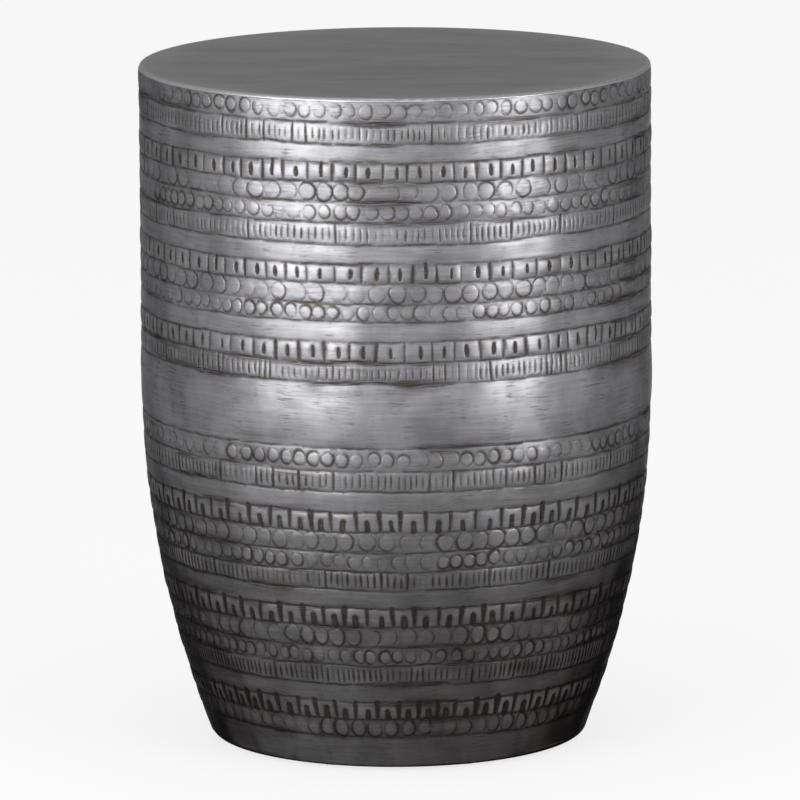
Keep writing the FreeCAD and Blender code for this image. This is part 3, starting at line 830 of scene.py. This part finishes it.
class Nodes:
    """The node tree of a material or a world, written from the surface back to what it is made of."""

    def __init__(self, holder, surface="Principled BSDF"):
        holder.use_nodes = True
        self.holder = holder
        self.tree = holder.node_tree
        self.surface = self.tree.nodes[surface]

    def link(self, socket, value):
        """Sets a socket to a number or a colour, or joins it to another socket."""
        if isinstance(value, bpy.types.NodeSocket):
            self.tree.links.new(value, socket)
        elif isinstance(value, tuple) and len(value) == 3 and socket.type == "RGBA":
            socket.default_value = (*value, 1)
        else:
            socket.default_value = value

    def put(self, **values):
        """Sets the surface's sockets, named with _ for a space."""
        for name, value in values.items():
            self.link(self.surface.inputs[name.replace("_", " ")], value)

    def add(self, kind, values, **settings):
        """A new node with its settings, and with values for its sockets by place or by name."""
        node = self.tree.nodes.new("ShaderNode" + kind)
        for name, setting in settings.items():
            setattr(node, name, setting)
        sockets = values if isinstance(values, dict) else dict(enumerate(values))
        for socket, value in sockets.items():
            self.link(node.inputs[socket], value)
        return node

    def maths(self, operation, *values):
        return self.add("Math", values, operation=operation).outputs[0]

    def place(self):
        """The x, y and z of the place on the object."""
        return self.add("SeparateXYZ", [self.add("TexCoord", []).outputs["Object"]]).outputs

    def times(self, first, second):
        return self.maths("MULTIPLY", first, second)

    def joined(self, *parts):
        return self.add("CombineXYZ", parts).outputs[0]

    def stretched(self, *lengths):
        """The place on the object, measured in steps of those lengths."""
        return self.joined(*(self.maths("DIVIDE", *both) for both in zip(self.place(), lengths)))

    def unrolled(self, along, up, warp=0.0):
        """The place on the unrolled wall, measured in steps of those lengths; a warp shifts it up."""
        x, y, z = self.place()
        z = self.maths("ADD", z, warp)
        turn = self.maths("ARCTAN2", x, self.times(y, -1.0))
        arc = self.times(turn, BODY_RADIUS / along)
        return self.joined(arc, self.maths("DIVIDE", z, up))

    def noise(self, lengths, detail=2.0, roughness=0.5, distortion=0.0, warp=0.0):
        """Noise with a grain of those lengths, two on the unrolled wall or three on the object."""
        vector = self.unrolled(*lengths, warp) if len(lengths) == 2 else self.stretched(*lengths)
        values = {"Vector": vector, "Scale": 1.0, "Detail": detail, "Roughness": roughness}
        return self.add("TexNoise", {**values, "Distortion": distortion}).outputs["Fac"]

    def spread(self, value, low, high, start=0.0, end=1.0):
        """A value's range from low to high, drawn out from start to end."""
        return self.add("MapRange", (value, low, high, start, end)).outputs[0]

    def mix(self, share, first, second, blend="MIX"):
        return self.add("Mix", {0: share, 6: first, 7: second}, data_type="RGBA", blend_type=blend).outputs[2]

    def attribute(self, name):
        return self.add("Attribute", [], attribute_name=name).outputs["Fac"]

    def seen(self):
        """1 for what the camera, a reflection or glass shows, and 0 for light that falls on things."""
        path = self.add("LightPath", []).outputs
        total = path["Is Camera Ray"]
        for kind in ("Is Glossy Ray", "Is Transmission Ray"):
            total = self.maths("MAXIMUM", total, path[kind])
        return total

    def bump(self, height, distance, strength):
        node = self.add("Bump", {"Distance": distance, "Strength": strength, "Height": height})
        self.link(self.surface.inputs["Normal"], node.outputs[0])


# Colours, and tints that a colour is multiplied by.
PEWTER = (0.1820, 0.1812, 0.1878)
FOOT_PAINTED_SHADE = (0.0500, 0.0466, 0.0460)
TOP_PEWTER = (0.2270, 0.2205, 0.2225)
TOP_DULL = (0.1650, 0.1600, 0.1620)
TOP_WEAR_AND_PAINTED_HIGHLIGHT = (0.2750, 0.2700, 0.2760)
TOP_BLOOM = (0.2520, 0.2520, 0.2660)
RIM_WEAR_AND_PAINTED_HIGHLIGHT = (0.3150, 0.3110, 0.3150)
PATINA_TINT = (0.203, 0.175, 0.156)
FOOT_PATINA_TINT = (0.270, 0.240, 0.224)
RUBBED_TINT = (1.20, 1.20, 1.21)
WALL_EDGE_TINT = (0.36, 0.36, 0.364)
FOOT_PAINTED_SHADE_EDGE_TINT = (0.09, 0.087, 0.086)
TOP_EDGE_TINT = (0.42, 0.415, 0.42)
ALUMINIUM = (0.56, 0.56, 0.57)
DULL_ALUMINIUM = (0.38, 0.38, 0.385)
FIBRE = (0.30, 0.205, 0.125)
DARK_FIBRE = (0.17, 0.11, 0.065)
PALE_FIBRE = (0.36, 0.26, 0.17)
ZINC = (0.60, 0.61, 0.60)
DULL_ZINC = (0.44, 0.45, 0.47)
NYLON = (0.018, 0.018, 0.019)
SCUFFED_NYLON = (0.07, 0.07, 0.07)
WHITE = (1.0, 1.0, 1.0)

# The grain of each surface: its length along and up the wall, or in x, y and z.
WARP = (90 * MM, 60 * MM)
WARP_REACH = 9 * MM
BRUSH_MARKS = (22 * MM, 0.75 * MM)
STREAKS = (75 * MM, 2.8 * MM)
DASHES = (13 * MM, 1.3 * MM)
DASH_GROUPS = (15 * MM, 45 * MM)
WORN_PATCHES = (34 * MM, 46 * MM)
GRIT = (2.8 * MM, 1.5 * MM)
TOP_BRUSH_MARKS = (60 * MM, 0.9 * MM, 10 * MM)
TOP_CLOUDS = (120 * MM, 26 * MM, 40 * MM)
TOP_BLOTCHES = (85 * MM, 60 * MM, 60 * MM)
ROLLING_STREAKS = (40 * MM, 1.2 * MM)
DULL_SPOTS = (14 * MM,) * 3
FIBRES = (1.1 * MM, 1.1 * MM, 0.7 * MM)
FIBRE_PATCHES = (45 * MM,) * 3
ZINC_CLOUDS = (2.5 * MM,) * 3
MOULD_GRAIN = (0.5 * MM,) * 3
SCUFFS = (5 * MM, 1.2 * MM, 3 * MM)
FLOOR_CLOUDS = (900 * MM,) * 3
BRUSH_DEPTH = 0.05 * MM
TOP_BRUSH_DEPTH = 0.02 * MM
ROLLING_DEPTH = 0.02 * MM
FIBRE_DEPTH = 0.2 * MM
MOULD_GRAIN_DEPTH = 0.06 * MM

# Where shade and light are painted into the wall's colour: darker towards its foot and to the right, and a
# painted highlight left of the middle.
PAINTED_SHADE_FROM = 282 * MM
PAINTED_SHADE_TO = 115 * MM
PAINTED_LIGHT_SIDE = -100 * MM
PAINTED_SHADE_SIDE = 160 * MM
PAINTED_HIGHLIGHT_LEFT = 55 * MM
PAINTED_HIGHLIGHT_REACH = 75 * MM

# The radii between which the top and its rim are lighter: worn, and with a painted highlight.
TOP_WEAR_AND_HIGHLIGHT = (155 * MM, 189 * MM)
RIM_WEAR_AND_HIGHLIGHT = (186 * MM, 188.5 * MM)


def chased_pewter():
    """Brushed dark pewter on the walls, with brown patina in the marks, shade painted in towards the foot and
    the right, and a painted highlight low on the left.
    """
    n = Nodes(bpy.data.materials.new("chased_pewter"))
    warp = n.maths("MULTIPLY_ADD", n.noise(WARP), WARP_REACH, -WARP_REACH / 2)
    brushed = n.noise(BRUSH_MARKS, 3.0, 0.62, warp=warp)
    streaks = n.noise(STREAKS, 3.0, 0.6, warp=warp)
    dashes = n.noise(DASHES, 3.0, 0.6, warp=warp)
    groups = n.noise(DASH_GROUPS, 2.0, 0.6)
    patchy = n.noise(WORN_PATCHES, 3.0, 0.55)
    flecks = n.times(n.spread(dashes, 0.50, 0.66), n.spread(groups, 0.45, 0.60))
    smear = n.times(n.attribute("smear"), n.spread(brushed, 0.38, 0.60, 0.45, 1.0))
    grit = n.noise(GRIT, 3.0, 0.65)
    rubbed = n.spread(n.attribute("patina"), 0.0, -1.0)
    flecks = n.times(flecks, n.spread(rubbed, 0.0, 0.4, 1.0, 0.1))
    patina = n.times(n.attribute("patina"), n.spread(grit, 0.34, 0.62, 0.86, 1.06))
    patina = n.maths("MAXIMUM", patina, n.times(smear, 1.05))
    patina = n.maths("MAXIMUM", patina, n.times(flecks, 0.54))
    x, _, z = n.place()
    # Painted shade: the colour darkens towards the foot, where the lower wall is shaded.
    lower = n.spread(z, PAINTED_SHADE_FROM, PAINTED_SHADE_TO)
    foot = n.maths("ADD", n.times(lower, 0.76), n.spread(z, PAINTED_SHADE_TO, 0.0, 0.0, 0.17))
    # Painted shade and light: the lower wall is darker to the right and lighter to the left.
    foot = n.maths("MULTIPLY_ADD", lower, n.spread(x, PAINTED_LIGHT_SIDE, PAINTED_SHADE_SIDE, -0.06, 0.10), foot)
    # Painted highlight: the lower wall is lighter in an upright band left of the middle.
    beside = n.maths("ABSOLUTE", n.maths("ADD", x, PAINTED_HIGHLIGHT_LEFT))
    foot = n.maths("MULTIPLY_ADD", lower, n.spread(beside, 0.0, PAINTED_HIGHLIGHT_REACH, -0.20, 0.0), foot)
    foot = n.times(foot, n.spread(rubbed, 0.0, 1.0, 1.02, 0.80))
    tone = n.spread(patchy, 0.34, 0.66, 1.13, 0.80)
    tone = n.times(tone, n.spread(brushed, 0.34, 0.66, 1.04, 0.94))
    tone = n.times(tone, n.spread(streaks, 0.36, 0.70, 1.06, 0.86))
    clean = n.mix(1.0, n.mix(foot, PEWTER, FOOT_PAINTED_SHADE), n.joined(tone, tone, tone), "MULTIPLY")
    dark = n.mix(foot, PATINA_TINT, FOOT_PATINA_TINT)
    darkened = n.mix(patina, n.mix(rubbed, WHITE, RUBBED_TINT), dark)
    n.put(Base_Color=n.mix(1.0, clean, darkened, "MULTIPLY"), Metallic=1.0)
    # The edge tint drops towards the foot as well: painted shade on the lower wall's edges.
    n.put(Specular_Tint=n.mix(foot, WALL_EDGE_TINT, FOOT_PAINTED_SHADE_EDGE_TINT))
    rough = n.spread(brushed, 0.3, 0.7, 0.33, 0.40)
    n.put(Roughness=n.maths("MULTIPLY_ADD", patina, 0.2, rough))
    n.bump(brushed, BRUSH_DEPTH, 0.2)
    return n.holder


def brushed_top_pewter():
    """The top: straight brush marks across, cloudy blotches, and a lighter edge and rim, worn and with a
    painted highlight.
    """
    n = Nodes(bpy.data.materials.new("brushed_top_pewter"))
    brushed = n.noise(TOP_BRUSH_MARKS, 3.0, 0.6)
    cloudy = n.noise(TOP_CLOUDS, 3.0, 0.55, 0.6)
    share = n.maths("MULTIPLY_ADD", n.spread(brushed, 0.35, 0.7), 0.45, n.spread(cloudy, 0.3, 0.8, 0.0, 0.6))
    x, y, _ = n.place()
    radius = n.maths("SQRT", n.maths("MULTIPLY_ADD", x, x, n.times(y, y)))
    blotches = n.noise(TOP_BLOTCHES, 3.0, 0.6, 0.5)
    colour = n.mix(n.spread(blotches, 0.50, 0.74, 0.0, 0.6), n.mix(share, TOP_PEWTER, TOP_DULL), TOP_BLOOM)
    # Painted highlight and wear: the top lightens towards its edge, in blotches.
    patchy = n.times(n.spread(radius, *TOP_WEAR_AND_HIGHLIGHT), n.spread(blotches, 0.35, 0.65, 0.35, 1.0))
    colour = n.mix(patchy, colour, TOP_WEAR_AND_PAINTED_HIGHLIGHT)
    # Painted highlight and wear: a thin bright band round the rim.
    colour = n.mix(n.spread(radius, *RIM_WEAR_AND_HIGHLIGHT), colour, RIM_WEAR_AND_PAINTED_HIGHLIGHT)
    n.put(Base_Color=colour, Metallic=1.0, Specular_Tint=TOP_EDGE_TINT)
    n.put(Roughness=n.spread(cloudy, 0.3, 0.7, 0.32, 0.42))
    n.bump(brushed, TOP_BRUSH_DEPTH, 0.5)
    return n.holder


def bare_aluminium():
    """Mill-finish strip inside the drum, with rolling streaks and dull spots."""
    n = Nodes(bpy.data.materials.new("bare_aluminium"))
    rolled = n.noise(ROLLING_STREAKS, 3.0, 0.6)
    spots = n.noise(DULL_SPOTS, 3.0, 0.5)
    share = n.maths("MULTIPLY_ADD", n.spread(rolled, 0.3, 0.7), 0.5, n.spread(spots, 0.4, 0.8, 0.0, 0.5))
    n.put(Base_Color=n.mix(share, ALUMINIUM, DULL_ALUMINIUM), Metallic=1.0)
    n.put(Roughness=n.spread(rolled, 0.3, 0.7, 0.34, 0.5))
    n.bump(rolled, ROLLING_DEPTH, 0.4)
    return n.holder


def fibreboard():
    """Raw pressed fibre: pale and dark fibres matted together."""
    n = Nodes(bpy.data.materials.new("fibreboard"))
    fibres = n.noise(FIBRES, 4.0, 0.7, 1.2)
    tone = n.noise(FIBRE_PATCHES, 2.0)
    colour = n.mix(n.spread(fibres, 0.3, 0.7), FIBRE, DARK_FIBRE)
    n.put(Base_Color=n.mix(n.spread(tone, 0.3, 0.7, 0.0, 0.35), colour, PALE_FIBRE))
    n.put(Roughness=n.spread(fibres, 0.3, 0.7, 0.75, 0.92))
    n.bump(fibres, FIBRE_DEPTH, 0.6)
    return n.holder


def zinc_plate():
    """Bright zinc on the screws, faintly clouded."""
    n = Nodes(bpy.data.materials.new("zinc_plate"))
    cloudy = n.noise(ZINC_CLOUDS, 3.0)
    n.put(Base_Color=n.mix(n.spread(cloudy, 0.3, 0.7), ZINC, DULL_ZINC), Metallic=1.0)
    n.put(Roughness=n.spread(cloudy, 0.3, 0.7, 0.24, 0.42))
    return n.holder


def moulded_nylon():
    """Black nylon with the fine grain of its mould, scuffed grey where it slides."""
    n = Nodes(bpy.data.materials.new("moulded_nylon"))
    grain = n.noise(MOULD_GRAIN, 2.0)
    scuffs = n.noise(SCUFFS, 3.0, 0.6)
    n.put(Base_Color=n.mix(n.spread(scuffs, 0.55, 0.8), NYLON, SCUFFED_NYLON))
    n.put(Roughness=n.spread(grain, 0.3, 0.7, 0.45, 0.62))
    n.bump(grain, MOULD_GRAIN_DEPTH, 0.5)
    return n.holder


# The floor and the sky, as they are seen and as they give light.
FLOOR_COLOUR = (0.85, 0.85, 0.85)
FLOOR_SHADED = (0.210, 0.210, 0.210)
FLOOR_SHADED_TONE = (0.205, 0.205, 0.205)
FLOOR_WHITE = 0.76
SKY_SEEN = 0.926
SKY_LIGHT = 0.80


def pale_floor():
    """Plain pale studio floor, near white where it is seen, with the drum's soft shadow."""
    n = Nodes(bpy.data.materials.new("pale_floor"))
    seen = n.seen()
    tone = n.noise(FLOOR_CLOUDS, 2.0)
    shaded = n.mix(n.spread(tone, 0.3, 0.7), FLOOR_SHADED, FLOOR_SHADED_TONE)
    n.put(Base_Color=n.mix(seen, FLOOR_COLOUR, shaded), Specular_IOR_Level=0.0)
    n.put(Roughness=n.spread(tone, 0.3, 0.7, 0.85, 0.95), Emission_Color=WHITE)
    n.put(Emission_Strength=n.times(seen, FLOOR_WHITE))
    return n.holder


# Pieces

BARE_NODES = ["top_ring", "splice_band", "upper_seam_strap", "lower_seam_strap", "base_ring", "base_rivets"]


def place(name, mesh, materials, slot, *nodes):
    """A finished piece in the frame, in place of CAD nodes."""
    piece = bpy.data.objects.new(name, mesh)
    bpy.context.scene.collection.objects.link(piece)
    for material in materials:
        mesh.materials.append(material)
    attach(piece, "root")
    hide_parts(*nodes)


def finish_node(node, material):
    """Gives a CAD node its material."""
    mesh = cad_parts[node].data
    mesh.materials.clear()
    mesh.materials.append(material)


def dress():
    """The chased sheets in place of the plain ones, and the finish of every other piece."""
    wall = chased_wall()
    pewter = chased_pewter()
    inside = bare_aluminium()
    upper = sheet_mesh("chased_upper_wall", upper_sections(), wall)
    place("chased_upper_wall", upper, (pewter, inside), "pewter_sheet", "upper_shell")
    lower = sheet_mesh("chased_lower_wall", lower_sections(), wall)
    place("chased_lower_wall", lower, (pewter, inside), "pewter_sheet", "lower_shell")
    finish_node("top_disc", brushed_top_pewter())
    finish_node("top_board", fibreboard())
    finish_node("board_screws", zinc_plate())
    for node in BARE_NODES:
        finish_node(node, inside)
    nylon = moulded_nylon()
    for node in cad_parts:
        if node.endswith("_glide"):
            finish_node(node, nylon)


# Studio: the soft boxes' bearings from the front in degrees, widths and radiances, and what they share.
SOFT_BOXES = {
    "left_box": (-31, 720 * MM, 1.58),
    "left_wing": (-53, 740 * MM, 1.24),
    "right_box": (51, 840 * MM, 1.66),
    "front_box": (2, 1000 * MM, 0.32),
}
BOX_HEIGHT = 840 * MM
BOX_DISTANCE = 1900 * MM
BOX_MIDDLE = 440 * MM
BOX_SPREAD = math.radians(80)

# The strip above, the floor, and the camera, whose angles are in radians.
STRIP_LENGTH = 2000 * MM
STRIP_WIDTH = 500 * MM
STRIP_RADIANCE = 2.0
STRIP_PLACE = (0, -850 * MM, 2300 * MM)
FLOOR_REACH = 90000 * MM
CAMERA_PLACE = (2.38 * MM, -6262 * MM, 1392.9 * MM)
CAMERA_LOOK_DOWN = 0.18014
CAMERA_LEAN = -0.00651
FILM_WIDTH_IN_MM = 36.0
LENS_IN_MM = 382.9


def studio():
    """A pale floor, an even pale sky, soft boxes at the left, the right and the front, and a strip above."""
    mesh = bpy.data.meshes.new("floor")
    corners = [(-1, -1), (1, -1), (1, 1), (-1, 1)]
    mesh.from_pydata([(x * FLOOR_REACH, y * FLOOR_REACH, cad_low.z) for x, y in corners], [], [(0, 1, 2, 3)])
    floor = bpy.data.objects.new("floor", mesh)
    bpy.context.scene.collection.objects.link(floor)
    mesh.materials.append(pale_floor())
    sky = Nodes(bpy.data.worlds.new("studio"), "Background")
    sky.put(Color=WHITE, Strength=sky.spread(sky.seen(), 0.0, 1.0, SKY_LIGHT, SKY_SEEN))
    bpy.context.scene.world = sky.holder
    for name, (bearing, wide, radiance) in SOFT_BOXES.items():
        turn = math.radians(bearing)
        box = area_light(name, wide, BOX_HEIGHT, radiance)
        box.data.spread = BOX_SPREAD
        box.location = (BOX_DISTANCE * math.sin(turn), -BOX_DISTANCE * math.cos(turn), BOX_MIDDLE)
        box.rotation_euler = (math.pi / 2, 0, turn)
    strip = area_light("overhead_strip", STRIP_LENGTH, STRIP_WIDTH, STRIP_RADIANCE)
    strip.location = STRIP_PLACE


def area_light(name, wide, high, radiance):
    """A soft rectangular light that the camera doesn't see; it faces down until it is turned."""
    lamp = bpy.data.lights.new(name, "AREA")
    lamp.shape = "RECTANGLE"
    lamp.size = wide
    lamp.size_y = high
    lamp.energy = math.pi * radiance * wide * high
    light = bpy.data.objects.new(name, lamp)
    bpy.context.scene.collection.objects.link(light)
    light.visible_camera = False
    return light


def camera():
    """The photograph's view: a long lens a little above the top, leaning slightly."""
    data = bpy.data.cameras.new("camera")
    data.sensor_width = FILM_WIDTH_IN_MM
    data.lens = LENS_IN_MM
    eye = bpy.data.objects.new("camera", data)
    bpy.context.scene.collection.objects.link(eye)
    turned = Matrix.Rotation(math.pi / 2 - CAMERA_LOOK_DOWN, 4, "X") @ Matrix.Rotation(CAMERA_LEAN, 4, "Z")
    eye.matrix_world = Matrix.Translation(Vector(CAMERA_PLACE)) @ turned
    bpy.context.scene.camera = eye


bpy.context.scene.view_settings.view_transform = "Standard"
dress()
studio()
camera()
